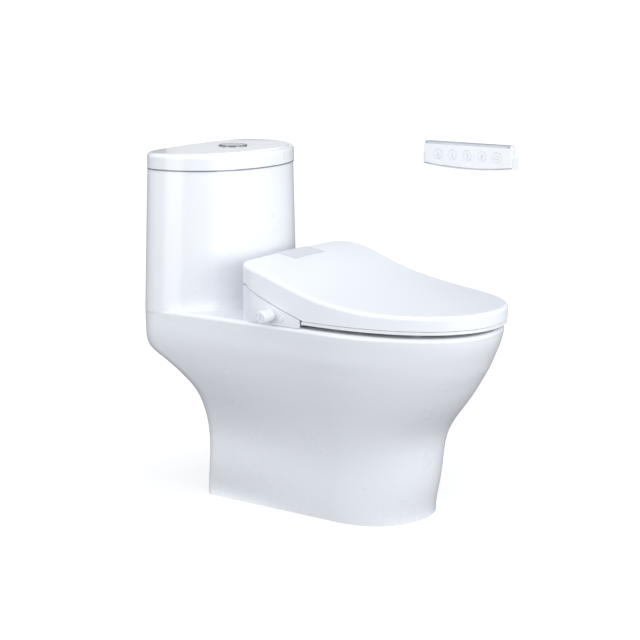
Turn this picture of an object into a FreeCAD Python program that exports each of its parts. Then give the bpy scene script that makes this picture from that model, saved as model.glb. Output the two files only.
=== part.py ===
"""One-piece toilet with a heated bidet seat and its wall remote, built as separate pieces.

Millimetres. Z is up, the front of the bowl faces -Y, and the origin is the centre of the
waste outlet at floor level.
"""
import FreeCAD
import Part
import math
import os

V = FreeCAD.Vector
X_AXIS = V(1, 0, 0)
Y_AXIS = V(0, 1, 0)
Z_AXIS = V(0, 0, 1)

# Toilet china, outside
rim_z = 394.0
back_y = 290.0
deck_half = 195.6
back_corner = 50.0
bowl_half = 186.0
bowl_wide_y = -150.0
bowl_front_y = -431.0
rim_round = 7.0
foot_half = 124.0
foot_back_y = 168.5
foot_front_y = -287.5
foot_corner = 14.0
front_full = 0.61

# How far each outline of the body has grown from the foot (0) to the rim (1):
# height, back width, back, rear corner, bowl width, front
body_growth = (
    (0.000, 0.000, 0.000, 0.000, 0.000, 0.000),
    (0.152, 0.000, 0.000, 0.083, 0.000, 0.063),
    (0.279, 0.003, 0.012, 0.264, 0.005, 0.115),
    (0.381, 0.056, 0.045, 0.431, 0.077, 0.153),
    (0.444, 0.154, 0.070, 0.542, 0.161, 0.209),
    (0.508, 0.288, 0.103, 0.653, 0.268, 0.310),
    (0.571, 0.440, 0.169, 0.764, 0.387, 0.436),
    (0.635, 0.594, 0.325, 0.847, 0.516, 0.561),
    (0.685, 0.712, 0.498, 0.917, 0.613, 0.648),
    (0.736, 0.817, 0.720, 0.958, 0.713, 0.728),
    (0.782, 0.901, 0.926, 0.986, 0.790, 0.798),
    (0.825, 0.957, 0.997, 1.000, 0.863, 0.850),
    (0.876, 0.994, 1.000, 1.000, 0.926, 0.909),
    (0.939, 1.000, 1.000, 1.000, 0.981, 0.972),
    (1.000, 1.000, 1.000, 1.000, 1.000, 1.000),
)
hollow_rows = (0, 2, 4, 6, 8, 9, 10, 11, 12, 14)

# Tank
tank_seam_z = 672.0
tank_top_half = 181.0
tank_front_y = 89.0
tank_wall = 11.0
tank_floor_z = 408.0
tank_proud = 0.3
cove = 9.0
cove_height = 24.0
root_sunk = 1.5

# Tank lid
lid_height = 33.5
lid_round = 9.0
lid_wall = 10.0
lid_locator = 12.0
lid_gap = 0.3
lid_dome = 4.0
lid_side_step = 1.0
lid_front_step = 1.5
lid_back_step = 0.5

# Bowl inside
bowl_open_half = 118.0
bowl_open_back_y = -48.0
bowl_open_front_y = -368.0
sump_z = 182.0
sump_y = -150.0
trap_r = 25.0
trap_wall = 10.0
weir_z = 262.0
weir_y = -36.0
foot_wall = 15.0
bowl_wall = 12.0
deck_thick = 22.0

# Waste outlet adapter on the floor
outlet_bore_r = 41.0
outlet_r = 47.0
outlet_height = 32.0
seal_height = 8.0
outlet_seat_gap = 0.3
seal_bore_r = 27.0

# Seat and lid plan, shared by seat, lid and housing
unit_half = 188.0
unit_back_y = 45.0
unit_corner = 50.0
unit_wide_half = 186.0
unit_front_y = -438.0
lid_bottom_z = 409.0
lid_skin = 3.5
lid_edge_round = 7.0
lid_crown = 2.5
seat_bottom_z = 402.0
seat_join_z = 408.0
seat_top_z = 425.0
seat_lip = 1.0
seat_inset = 5.5
seat_hole_half = 104.0
seat_hole_back_y = -112.0
seat_hole_front_y = -348.0
seat_skin = 5.0
seat_dish = 2.0
seat_wall = 8.0
heater_wall = 15.0
seat_round = 7.0
seat_middle_y = -230.0
seat_gap = 0.3
seat_bumper_r = 9.0
seat_bumper_spots = ((-135, -165), (135, -165), (-105, -325), (105, -325))
lid_bumper_r = 7.0
lid_bumper_spots = ((-150, -230), (150, -230), (-90, -365), (90, -365))

# Hinge line of the seat and the lid
hinge_y = 33.0
hinge_z = 478.0
shaft_r = 4.5
shaft_play = 0.05
knuckle_r = 8.0
cheek_x = (109.0, 117.0)
seat_knuckle_x = (120.0, 141.0)
lid_knuckle_x = (144.0, 164.0)
shaft_end_x = 160.0
sweep_r = 30.0
shelf_depth = 16.0
shelf_drop = 15.8

# Housing of the bidet unit
unit_floor_gap = 0.3
unit_skin_gap = 0.3
housing_wall = 2.5
arc_front_y = -114.0
arc_middle_y = -72.0
seat_housing_gap = 3.5
shoulder_gap = 1.5
raised_half = 177.0
raised_gap = 6.0
base_thick = 3.0
bay_margin = 2.5
arm_thick = 13.0
arm_play = 2.0
arm_front_y = -112.0
block_half = 50.0
notch_half = 52.0
notch_front_y = -7.0
panel_thick = 2.5
panel_gap = 0.3

# Seat base plate on the deck
plate_thick = 6.0
plate_half = 100.0
plate_front_y = -30.0
plate_back_y = 38.0
plate_play = 0.3
bolt_half_spacing = 70.0
bolt_y = 8.0
bolt_r = 4.0
bolt_length = 38.0
bolt_head_r = 9.0
head_depth = 4.4
sleeve_r = 9.0
sleeve_play = 0.3

# Nozzle
nozzle_angle = 35.0
nozzle_r = 7.0
nozzle_length = 104.0
nozzle_tip_y = -64.0
nozzle_tip_z = 400.0
guide_wall = 2.0
guide_play = 0.3
guide_foot_half = 6.0
guide_foot_y = (-12.0, 2.0)
jet_r = 1.2

# Side of the unit
knob_y = -44.5
knob_z = 413.0
knob_r = 12.5
knob_length = 31.0
knob_hole_r = 9.0
knob_grooves = 16
groove_r = 0.8
side_button_y = -69.0
side_button_z = 408.5
side_button_r = 6.0
side_button_out = 0.8
inlet_x = 130.0
inlet_z = 416.0
inlet_run_y = 60.0
inlet_thread = 14.0
elbow_r = 13.0
elbow_flange_r = 14.0
inlet_bore_r = 5.0
gland_x = 92.0

# Inner parts of the unit
heater_tank_x = (62.0, 110.0)
heater_tank_height = 38.0
valve_block_height = 30.0
fan_r = 18.0
fan_height = 20.0

# Flush button
button_y = 187.0
bezel_r = 29.0
bezel_bore_r = 23.5
bezel_hole_r = 26.0
bezel_rise = 2.2
button_play = 0.4
button_split_x = 8.0
button_rod_r = 3.0
button_height = 4.0
stem_length = 26.0
nut_height = 8.0
rod_bottom_z = 652.0

# Tank fittings
flush_y = 187.0
flush_hole_r = 30.0
flush_tail_r = 28.5
flush_flange_r = 38.0
flush_tower_r = 34.0
post_circle_r = 31.0
fill_side_gap = 70.6
fill_x = fill_side_gap - deck_half
fill_y = 225.0
shank_r = 10.4775
shank_hole_r = 12.0
fill_pocket_r = 34.0
fill_pocket_z = 240.0
neck_r = 9.8
thread_length = 18.0
shank_length = 42.0
fill_height = 190.0
float_rest = 60.0
float_height = 60.0
float_r = 30.0
tower_height = 120.0
overflow_top_z = 630.0

# Remote
wall_x = 405.0
remote_y = -148.0
remote_half = 107.0
remote_bottom_z = 648.0
remote_bow = 7.0
remote_height = 54.0
remote_top_z = remote_bottom_z + remote_height
remote_front_x = 378.0
remote_depth = 19.0
holder_wall = 2.5
holder_play = 0.4
screw_hole_r = 2.2
screw_head_r = 4.2
screw_land = 2.0
screw_spacing = 80.0
holder_ear_height = 30.0
holder_ear_z = remote_bottom_z + holder_ear_height
key_gap = 0.35
door_half = 32.0
door_height = 26.0
door_above_bottom = 14.0
key_y_step = 36.0
key_r = 11.0


def save(name, *shapes):
    """Write one node, its separate solids together."""
    solids = []
    for shape in shapes:
        solids.extend(shape.Solids)
    whole = solids[0] if len(solids) == 1 else Part.makeCompound(solids)
    whole.exportStep(os.path.join("parts", name + ".step"))
    volume = sum(solid.Volume for solid in solids) / 1000.0
    valid = all(solid.isValid() for solid in solids)
    print("%-20s %3d solids %9.1f cm3 %s" % (name, len(solids), volume, "ok" if valid else "INVALID"))


def box(x0, x1, y0, y1, z0, z1):
    return Part.makeBox(x1 - x0, y1 - y0, z1 - z0, V(x0, y0, z0))


def rod(radius, start, length, direction=Z_AXIS):
    return Part.makeCylinder(radius, length, start, direction)


def ring(outer, inner, start, length, direction=Z_AXIS):
    return rod(outer, start, length, direction).cut(rod(inner, start, length, direction))


def curve(points, first=None, last=None):
    """Smooth edge through the points, with given end directions."""
    spline = Part.BSplineCurve()
    if first is None:
        spline.interpolate(points)
    else:
        spline.interpolate(Points=points, InitialTangent=first, FinalTangent=last)
    return spline.toShape()


def bezier(points):
    arc = Part.BezierCurve()
    arc.setPoles(points)
    return arc.toShape()


def front_edges(half, wide_y, front_y, z):
    """Full rounded front from the left widest point round the tip to the right one."""
    reach = front_y - wide_y
    right = [V(half, wide_y, z), V(half, wide_y + front_full * reach, z), V(front_full * half, front_y, z),
             V(0, front_y, z)]
    left = [V(-p.x, p.y, z) for p in reversed(right)]
    return [bezier(right), bezier(left)]


def back_edges(half, y_back, corner, z):
    """Round rear corners and the straight back, from left to right."""
    side_y = y_back - corner
    inner_x = half - corner
    diagonal = corner * math.sqrt(0.5)
    left_mid = V(-inner_x - diagonal, side_y + diagonal, z)
    right_mid = V(inner_x + diagonal, side_y + diagonal, z)
    left_arc = Part.Arc(V(-half, side_y, z), left_mid, V(-inner_x, y_back, z)).toShape()
    back = Part.LineSegment(V(-inner_x, y_back, z), V(inner_x, y_back, z)).toShape()
    right_arc = Part.Arc(V(inner_x, y_back, z), right_mid, V(half, side_y, z)).toShape()
    return [left_arc, back, right_arc]


def plan_wire(z, half_back, y_back, corner, half_wide, wide_y, front_y):
    """Plan outline whose width changes smoothly from the rear corner to the widest point."""
    side_y = y_back - corner
    third = (wide_y - side_y) / 3.0
    right = bezier([V(half_back, side_y, z), V(half_back, side_y + third, z), V(half_wide, wide_y - third, z),
                    V(half_wide, wide_y, z)])
    left = bezier([V(-half_wide, wide_y, z), V(-half_wide, wide_y - third, z),
                   V(-half_back, side_y + third, z), V(-half_back, side_y, z)])
    front = front_edges(half_wide, wide_y, front_y, z)
    return Part.Wire([right] + front + [left] + back_edges(half_back, y_back, corner, z))


def short_wire(z, half, y_back, corner, front_y):
    """Plan outline of the tank: round rear corners and one bowed front."""
    return Part.Wire(front_edges(half, y_back - corner, front_y, z) + back_edges(half, y_back, corner, z))


def loft(wires, ruled=False):
    return Part.makeLoft(wires, True, ruled)


def prism(wire, height):
    return Part.Face(wire).extrude(V(0, 0, height))


def side_profile(points, x0, x1):
    """Solid between two x values from a closed outline of (y, z) points."""
    corners = [V(x0, y, z) for y, z in points]
    return Part.Face(Part.makePolygon(corners + [corners[0]])).extrude(V(x1 - x0, 0, 0))


def ellipse_wire(z, half, y_back, y_front):
    """Oval opening outline at height z."""
    length = (y_back - y_front) / 2.0
    middle = V(0, (y_back + y_front) / 2.0, z)
    if length >= half:
        shape = Part.Ellipse(middle + V(0, length, 0), middle + V(-half, 0, 0), middle)
    else:
        shape = Part.Ellipse(middle + V(half, 0, 0), middle + V(0, length, 0), middle)
    return Part.Wire([shape.toShape()])


# ---- toilet china ----

def tank_half(z):
    """Half width of the tank, which tapers evenly from the deck to the seam."""
    share = (z - rim_z) / (tank_seam_z - rim_z)
    foot = deck_half + tank_proud
    return foot + (tank_top_half - foot) * share


def body_wire(growth, inset=0.0):
    """One outline of the body, drawn in by the inset."""
    height, back_width, back, corner, width, front = growth
    half_back = foot_half + (deck_half - foot_half) * back_width
    y_back = foot_back_y + (back_y - foot_back_y) * back
    round_r = foot_corner + (back_corner - foot_corner) * corner
    half_wide = foot_half + (bowl_half - foot_half) * width
    front_y = foot_front_y + (bowl_front_y - foot_front_y) * front
    return plan_wire(rim_z * height, half_back - inset, y_back - inset, max(round_r - inset, 4.0),
                     half_wide - inset, bowl_wide_y, front_y + inset)


def slab(z0, z1):
    """Everything between two heights."""
    return box(-300, 300, -600, 400, z0, z1)


def tank_wire(z, flare=0.0, inset=0.0):
    """Plan of the tank at height z, with a flared front or an inset wall."""
    return short_wire(z, tank_half(z) - inset, back_y + tank_proud - inset, back_corner - inset,
                      tank_front_y - flare + inset)


def tank_root():
    """Part of the deck under the tank, which fills the rounded edge there."""
    sunk = short_wire(deck_under_z(), deck_half - root_sunk, back_y - root_sunk, back_corner - root_sunk,
                      tank_front_y)
    level = tank_wire(rim_z - rim_round + 1.0, flare=cove)
    return loft([sunk, level], ruled=True).fuse(loft([level, tank_wire(rim_z, flare=cove)], ruled=True))


def tank_outside():
    cove_wires = []
    for share in (0.0, 0.25, 0.6, 1.0):
        z = rim_z + cove_height * share
        cove_wires.append(tank_wire(z, flare=cove * (1 - share) ** 2))
    wall = loft([tank_wire(rim_z + cove_height), tank_wire(tank_seam_z)], ruled=True)
    return loft(cove_wires).fuse(wall)


def deck_under_z():
    return rim_z - deck_thick


def bowl_cavity(offset=0.0):
    """Space of the bowl, or with an offset the outside of its wall."""
    back = bowl_open_back_y + offset
    front = bowl_open_front_y - offset
    shape = [
        (rim_z + 2.0, bowl_open_half + offset, back, front),
        (rim_z - 40.0, bowl_open_half + offset, back, front),
        (300.0, 96.0 + offset, back - 14, front + 28),
        (245.0, 66.0 + offset, back - 34, front + 78),
        (205.0, 46.0 + offset, back - 52, front + 128),
        (sump_z - offset, 34.0 + offset, back - 62, front + 160),
    ]
    wires = [ellipse_wire(*row) for row in shape]
    upper = loft(wires[:2], ruled=True)
    return upper.fuse(loft(wires[1:], ruled=offset > 0))


def trap_path():
    """Centre line of the trapway: back from the sump, over the weir, down to the outlet."""
    start = V(0, sump_y, sump_z + 20)
    low = V(0, -100, sump_z + 24)
    top_in = V(0, -62, weir_z - 16)
    top = V(0, weir_y + 8, weir_z)
    top_out = V(0, 0, weir_z - 34)
    end = V(0, 0, -1)
    first = Part.LineSegment(start, low).toShape()
    climb = curve([low, top_in, top, top_out], V(0, 60, 4), V(0, 0, -60))
    fall = Part.LineSegment(top_out, end).toShape()
    return Part.Wire([first, climb, fall])


def trap_pipe(radius):
    path = trap_path()
    start = V(0, sump_y, sump_z + 20)
    direction = V(0, 50, 4)
    profile = Part.Wire([Part.Circle(start, direction, radius).toShape()])
    return path.makePipeShell([profile], True, False)


def body_outside():
    outside = loft([body_wire(growth) for growth in body_growth])
    rim = [edge for edge in outside.Edges if edge.BoundBox.ZMin > rim_z - 1.0]
    return outside.makeFillet(rim_round, rim)


def foot_cavity():
    """Hollow of the skirt, open at the floor and under the deck."""
    wires = [body_wire(body_growth[row], foot_wall) for row in hollow_rows]
    return loft(wires, ruled=True).fuse(prism(body_wire(body_growth[0], foot_wall), -5.0))


def toilet_body():
    """Skirt of the toilet, from the floor to the underside of the deck."""
    skirt = body_outside().common(slab(-1.0, deck_under_z()))
    skirt = skirt.cut(foot_cavity())
    pocket = rod(fill_pocket_r, V(fill_x, fill_y, fill_pocket_z), rim_z - fill_pocket_z)
    return skirt.cut(pocket).removeSplitter()


def rim_deck():
    """Rim round the bowl and the deck behind it, in one slab with a rounded outer edge."""
    deck = body_outside().fuse(tank_root()).common(slab(deck_under_z(), rim_z))
    deck = deck.cut(bowl_cavity())
    deck = deck.cut(rod(flush_hole_r, V(0, flush_y, deck_under_z() - 1), deck_thick + 2))
    deck = deck.cut(rod(fill_pocket_r, V(fill_x, fill_y, deck_under_z() - 1), deck_thick + 2))
    for side in (-1, 1):
        start = V(side * bolt_half_spacing, bolt_y, deck_under_z() - 1)
        deck = deck.cut(rod(sleeve_r + sleeve_play, start, deck_thick + 2))
    return deck.removeSplitter()


def toilet_tank():
    """Open tank on the deck, with the holes of the two valves in its floor."""
    inside_wires = [tank_wire(z, inset=tank_wall) for z in (tank_floor_z, tank_seam_z + 2.0)]
    tank = tank_outside().cut(loft(inside_wires, ruled=True))
    floor_depth = tank_floor_z - rim_z + 2
    tank = tank.cut(rod(flush_hole_r, V(0, flush_y, rim_z - 1), floor_depth))
    tank = tank.cut(rod(shank_hole_r, V(fill_x, fill_y, rim_z - 1), floor_depth))
    return tank.removeSplitter()


def bowl_basin():
    """Wall of the bowl, which hangs from the rim inside the skirt."""
    wall = bowl_cavity(bowl_wall).common(slab(0.0, deck_under_z()))
    return wall.cut(bowl_cavity()).cut(trap_pipe(trap_r)).removeSplitter()


def trapway():
    """Pipe that carries the waste from the bowl over the weir down to the outlet."""
    pipe = trap_pipe(trap_r + trap_wall).cut(bowl_cavity(bowl_wall)).cut(trap_pipe(trap_r))
    pipe = pipe.cut(slab(-10.0, outlet_height + outlet_seat_gap))
    return max(pipe.Solids, key=lambda solid: solid.Volume)


# ---- waste outlet ----

def outlet_adapter():
    """Ring that leads the waste from the china down into the floor pipe."""
    return ring(outlet_r, outlet_bore_r, V(0, 0, 0), outlet_height - seal_height)


def outlet_seal():
    """Rubber ring between the adapter and the lower end of the trapway."""
    return ring(outlet_r, seal_bore_r, V(0, 0, outlet_height - seal_height), seal_height)


# ---- tank lid and flush buttons ----

def tank_lid():
    z0 = tank_seam_z + lid_gap
    side_top = z0 + lid_height - lid_round
    outer = []
    for angle in (0, 30, 60, 90):
        inset = lid_round * (1 - math.cos(math.radians(angle)))
        z = side_top + lid_round * math.sin(math.radians(angle))
        outer.append((z, inset))
    wires = [lid_wire(z, inset) for z, inset in outer]
    skirt = loft([lid_wire(z0, 0.0), lid_wire(side_top, 0.0)], ruled=True)
    shape = skirt.fuse(loft(wires))
    top_z = z0 + lid_height
    dome_r = (tank_top_half ** 2 + lid_dome ** 2) / (2 * lid_dome)
    dome_centre = V(0, (back_y + tank_front_y) / 2, top_z + lid_dome - dome_r)
    dome = Part.makeSphere(dome_r, dome_centre)
    cap = prism(lid_wire(top_z, lid_round), lid_dome * 2).common(dome)
    shape = shape.fuse(cap)
    hollow = loft([lid_wire(z0 - 1, lid_wall), lid_wire(top_z - lid_wall, lid_wall)], ruled=True)
    shape = shape.cut(hollow)
    shape = shape.fuse(tank_locator())
    return shape.cut(rod(bezel_hole_r, V(0, button_y, z0 - 30), 100))


def lid_wire(z, inset):
    """Plan of the tank lid, a little proud of the tank."""
    return short_wire(z, tank_top_half + lid_side_step - inset, back_y - lid_back_step - inset,
                      back_corner - inset, tank_front_y - lid_front_step + inset)


def tank_locator():
    """Step under the lid that drops inside the tank wall."""
    inner = tank_wall + 9.0
    z1 = tank_seam_z + lid_gap
    collar = lid_ring(z1, z1 + 6.0, lid_wall - 1.0, inner)
    tongue = lid_ring(tank_seam_z - lid_locator, z1 + 1.0, tank_wall + 3.0, inner)
    return collar.fuse(tongue)


def lid_ring(z0, z1, outer_inset, inner_inset):
    outer = loft([lid_wire(z0, outer_inset), lid_wire(z1, outer_inset)], ruled=True)
    inner = loft([lid_wire(z0 - 1, inner_inset), lid_wire(z1 + 1, inner_inset)], ruled=True)
    return outer.cut(inner)


def bezel_base_z():
    """Top of the tank lid at the button."""
    return tank_seam_z + lid_gap + lid_height + lid_dome


def button_bezel():
    top = bezel_base_z()
    flange = rod(bezel_r, V(0, button_y, top), bezel_rise)
    stem = rod(bezel_hole_r - 0.5, V(0, button_y, top - stem_length), stem_length)
    bore = rod(bezel_bore_r, V(0, button_y, top - stem_length - 1), stem_length + bezel_rise + 2)
    shelf = ring(bezel_bore_r + 0.5, bezel_bore_r - 3.0, V(0, button_y, top - stem_length), 2.0)
    return flange.fuse(stem).cut(bore).fuse(shelf)


def bezel_nut():
    under = bezel_base_z() - lid_wall - lid_dome
    outer = bezel_hole_r + 6.0
    nut = ring(outer, bezel_hole_r - 0.45, V(0, button_y, under - nut_height - 0.3), nut_height)
    for i in range(6):
        angle = math.radians(60 * i)
        centre = V(outer * math.cos(angle), button_y + outer * math.sin(angle), 0)
        nut = nut.cut(rod(2.5, centre + V(0, 0, under - nut_height - 1), nut_height + 2))
    return nut


def flush_button(side):
    """One half of the dual button: side -1 is the full flush, side 1 the half flush."""
    top = bezel_base_z() + bezel_rise
    disc = rod(bezel_bore_r - button_play, V(0, button_y, top - button_height), button_height)
    edge = button_split_x + side * button_play / 2
    reach = bezel_r + 5.0
    if side < 0:
        half = box(-reach, edge, button_y - reach, button_y + reach, top - 50, top + 5)
        rod_x = -6.0
    else:
        half = box(edge, reach, button_y - reach, button_y + reach, top - 50, top + 5)
        rod_x = 16.0
    plate = disc.common(half)
    stem_top = top - button_height
    stem = rod(button_rod_r, V(rod_x, button_y, rod_bottom_z), stem_top - rod_bottom_z + 0.5)
    return plate.fuse(stem)


# ---- tank fittings ----

def flush_valve_body():
    z0 = tank_floor_z
    tail = ring(flush_tail_r, flush_tail_r - 3.0, V(0, flush_y, z0 - 25), 25 + seal_height)
    flange = ring(flush_flange_r, flush_tail_r - 3.0, V(0, flush_y, z0 + seal_height), 5.0)
    shape = tail.fuse(flange)
    for i in range(4):
        angle = math.radians(45 + 90 * i)
        x = post_circle_r * math.cos(angle)
        y = flush_y + post_circle_r * math.sin(angle)
        shape = shape.fuse(rod(3.0, V(x, y, z0 + seal_height + 4), 52.0))
    tower_z = z0 + seal_height + 54.0
    tower = ring(flush_tower_r, flush_tower_r - 2.5, V(0, flush_y, tower_z), tower_height)
    cap = ring(flush_tower_r, 14.0, V(0, flush_y, tower_z + tower_height - 3), 3.0)
    return shape.fuse(tower).fuse(cap)


def flush_valve_seal():
    return ring(flush_flange_r, flush_tail_r + 0.3, V(0, flush_y, tank_floor_z + 0.2), seal_height - 0.4)


def flush_valve_lift():
    """Valve disc, overflow tube and float cup, which rise together."""
    z0 = tank_floor_z + seal_height + 5.3
    disc = rod(flush_tail_r - 0.5, V(0, flush_y, z0), 5.0)
    tube = rod(12.0, V(0, flush_y, z0 + 4), overflow_top_z - z0 - 4)
    cup = rod(24.0, V(0, flush_y, z0 + 60), 50.0)
    bore = rod(9.5, V(0, flush_y, z0 - 1), overflow_top_z - z0 + 2)
    return disc.fuse(tube).fuse(cup).cut(bore)


def fill_valve_body():
    """Fill valve with its threaded tail below the tank floor and its float guide above it."""
    z0 = tank_floor_z
    tail_z = z0 - shank_length
    tail = rod(shank_r, V(fill_x, fill_y, tail_z), thread_length)
    neck = rod(neck_r, V(fill_x, fill_y, tail_z + thread_length - 1), shank_length - thread_length + 5)
    flange = rod(20.0, V(fill_x, fill_y, z0 + 3.2), 6.0)
    column = rod(13.0, V(fill_x, fill_y, z0 + 8), fill_height)
    head = rod(19.0, V(fill_x, fill_y, z0 + fill_height), 26.0)
    outlet = rod(4.0, V(fill_x + 15, fill_y, z0 + fill_height + 12), 22.0, X_AXIS)
    bore = rod(shank_r - 3.5, V(fill_x, fill_y, tail_z - 1), shank_length + 8)
    return tail.fuse(neck).fuse(flange).fuse(column).fuse(head).fuse(outlet).cut(bore)


def fill_valve_washer():
    return ring(20.0, neck_r + 0.2, V(fill_x, fill_y, tank_floor_z + 0.1), 3.0)


def fill_valve_float():
    z0 = tank_floor_z + float_rest
    return ring(float_r, 13.6, V(fill_x, fill_y, z0), float_height)


def shank_nut():
    top = rim_z - 0.2
    nut = prism(hexagon(fill_x, fill_y, top - nut_height, 17.0), nut_height)
    return nut.cut(rod(neck_r + 0.02, V(fill_x, fill_y, top - nut_height - 1), nut_height + 2))


def hexagon(x, y, z, radius):
    points = []
    for i in range(6):
        angle = math.radians(60 * i)
        points.append(V(x + radius * math.cos(angle), y + radius * math.sin(angle), z))
    return Part.makePolygon(points + [points[0]])


# ---- shared plan of the seat, lid and housing ----

def unit_wire(z, inset):
    """Outline that the lid, the seat and the housing share, drawn in by the inset."""
    return plan_wire(z, unit_half - inset, unit_back_y - inset, unit_corner - inset,
                     unit_wide_half - inset, bowl_wide_y, unit_front_y + inset)


def top_line():
    """Side line of the lid's top, rear to front, as (y, z)."""
    return [(70, 504), (30, 504), (4, 500.5), (-24, 494), (-64, 480.5), (-104, 467), (-150, 454.5),
            (-200, 445.5), (-250, 439.5), (-320, 436), (-400, 434.5), (-470, 434)]


def under_top(drop, crown, z0=380.0):
    """Solid below the lid's crowned top surface, lowered by drop."""
    wires = []
    for x, rise in ((-230.0, -crown * 0.5), (0.0, crown), (230.0, -crown * 0.5)):
        points = [V(x, y, z - drop + rise) for y, z in top_line()]
        top = curve(points)
        first = points[0]
        last = points[-1]
        sides = [
            Part.LineSegment(last, V(x, last.y, z0)).toShape(),
            Part.LineSegment(V(x, last.y, z0), V(x, first.y, z0)).toShape(),
            Part.LineSegment(V(x, first.y, z0), first).toShape(),
        ]
        wires.append(Part.Wire([top] + sides))
    return loft(wires)


def split_line():
    """Bottom edge of the lid's side, rear to front, as (y, z)."""
    return [(60, 468.5), (30, 468.5), (20, 466.5), (12, 463), (3, 457.5), (-16, 448.5), (-35, 440.5),
            (-54, 432.5), (-73, 425.5), (-92, 419), (-111, 412.5), (-122, lid_bottom_z)]


def below_split(gap):
    """Solid under the line that parts the lid from the housing's side, lowered by gap."""
    points = [(y, z - gap) for y, z in split_line()]
    points = points + [(-480, lid_bottom_z - gap), (-480, 330), (60, 330)]
    return side_profile(points, -230, 230)


def hinge_cylinder(radius, x0=-230.0, x1=230.0):
    return rod(radius, V(x0, hinge_y, hinge_z), x1 - x0, X_AXIS)


# ---- seat lid ----

def lid_block(inset, drop, crown):
    solid = prism(unit_wire(395.0, inset), 140.0)
    return solid.common(under_top(drop, crown))


def lid_shell():
    shell = rounded_top(lid_block(0.0, 0.0, lid_crown), lid_edge_round)
    inner = lid_block(lid_skin, lid_skin, lid_crown)
    shell = shell.cut(inner)
    shell = shell.cut(below_split(0.0))
    shell = shell.cut(box(-notch_half, notch_half, notch_front_y, 60, 395, 540))
    arm_clear = lid_knuckle_x[0] - 0.5
    shell = shell.cut(box(-arm_clear, arm_clear, hinge_y - 4, 60, 395, hinge_z + 9))
    for x0, x1 in (lid_knuckle_x, (-lid_knuckle_x[1], -lid_knuckle_x[0])):
        shell = shell.fuse(lid_knuckle(x0, x1))
        shell = shell.cut(rod(shaft_r + shaft_play, V(x0 - 1, hinge_y, hinge_z), x1 - x0 + 2, X_AXIS))
    return shell.removeSplitter()


def lid_knuckle(x0, x1):
    """Rib from the lid's top down round the hinge shaft."""
    eye = rod(knuckle_r, V(x0, hinge_y, hinge_z), x1 - x0, X_AXIS)
    web = box(x0, x1, hinge_y - knuckle_r, hinge_y + knuckle_r, hinge_z, hinge_z + 34)
    rib = eye.fuse(web)
    return rib.common(lid_block(lid_skin / 2, lid_skin / 2, lid_crown))


def rounded_top(solid, radius):
    """Round off every edge of the largest face, which is the top."""
    top = max(solid.Faces, key=lambda face: face.Area)
    return solid.makeFillet(radius, top.Edges)


def lid_bumpers():
    pads = []
    for x, y in lid_bumper_spots:
        z = seat_top_z + seat_gap
        pad = rod(lid_bumper_r, V(x, y, z), 60).common(lid_block(lid_skin, lid_skin + 0.1, lid_crown))
        pads.append(pad)
    return pads


# ---- seat ----

def seat_front_space(gap):
    """Everything in front of the housing's bowed front, less a gap."""
    return rod(front_arc_r() - gap, V(0, arc_middle_y - front_arc_r(), 330), 250)


def front_arc_r():
    rise = arc_middle_y - arc_front_y
    return (unit_half ** 2 + rise ** 2) / (2 * rise)


def seat_hole(offset, z0, height):
    back = seat_hole_back_y + offset
    front = seat_hole_front_y - offset
    return prism(ellipse_wire(z0, seat_hole_half + offset, back, front), height)


def seat_bottom():
    height = seat_join_z - seat_bottom_z
    plate = prism(unit_wire(seat_bottom_z, seat_lip), height)
    plate = plate.common(seat_front_space(seat_housing_gap))
    return plate.cut(seat_hole(0.0, seat_bottom_z - 1, height + 2))


def seat_top():
    height = seat_top_z - seat_join_z
    z0 = seat_join_z
    top = prism(unit_wire(z0, seat_inset), height)
    top = top.common(seat_front_space(seat_housing_gap))
    top = top.cut(seat_hole(0.0, z0 - 1, height + 2))
    edges = [edge for edge in top.Edges if edge.BoundBox.ZMin > seat_top_z - 0.1]
    top = top.makeFillet(seat_round, edges)
    dish_r = (unit_wide_half ** 2 - seat_hole_half ** 2) / (2 * seat_dish)
    top = top.cut(Part.makeSphere(dish_r, V(0, seat_middle_y, seat_top_z + dish_r - seat_dish)))
    pocket = prism(unit_wire(z0 - 1, seat_inset + seat_wall), height - seat_skin + 1)
    pocket = pocket.common(seat_front_space(seat_housing_gap + seat_wall))
    pocket = pocket.cut(seat_hole(seat_wall, z0 - 2, height + 3))
    top = top.cut(pocket)
    for x0, x1 in (seat_knuckle_x, (-seat_knuckle_x[1], -seat_knuckle_x[0])):
        top = top.fuse(seat_arm(x0, x1))
        top = top.cut(rod(shaft_r + shaft_play, V(x0 - 1, hinge_y, hinge_z), x1 - x0 + 2, X_AXIS))
    return top.removeSplitter()


def arm_profile(grow):
    """Side outline of a seat arm from the seat to the hinge, drawn larger by grow."""
    half = arm_thick / 2.0 + grow
    front_z = seat_join_z + arm_thick / 2.0 + 0.5
    return [(hinge_y - 2, hinge_z - half * 1.1), (hinge_y - 2, hinge_z + half * 0.9),
            (arm_front_y + 14, front_z + half + 10), (arm_front_y - 16 - grow, front_z + half),
            (arm_front_y - 16 - grow, front_z - half), (arm_front_y + 16, front_z - half)]


def seat_arm(x0, x1):
    bar = side_profile(arm_profile(0.0), x0, x1)
    eye = rod(knuckle_r, V(x0, hinge_y, hinge_z), x1 - x0, X_AXIS)
    return bar.fuse(eye)


def heater_element():
    """Foil heater under the seat's top skin."""
    z = seat_top_z - seat_skin - 1.3
    sheet = prism(unit_wire(z, seat_inset + heater_wall), 1.0)
    sheet = sheet.common(seat_front_space(seat_housing_gap + heater_wall))
    for x0, x1 in (seat_knuckle_x, (-seat_knuckle_x[1], -seat_knuckle_x[0])):
        sheet = sheet.cut(box(x0 - 2, x1 + 2, arm_front_y - 24, arm_front_y + 60, z - 2, z + 4))
    return sheet.cut(seat_hole(heater_wall, z - 1, 3))


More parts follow.
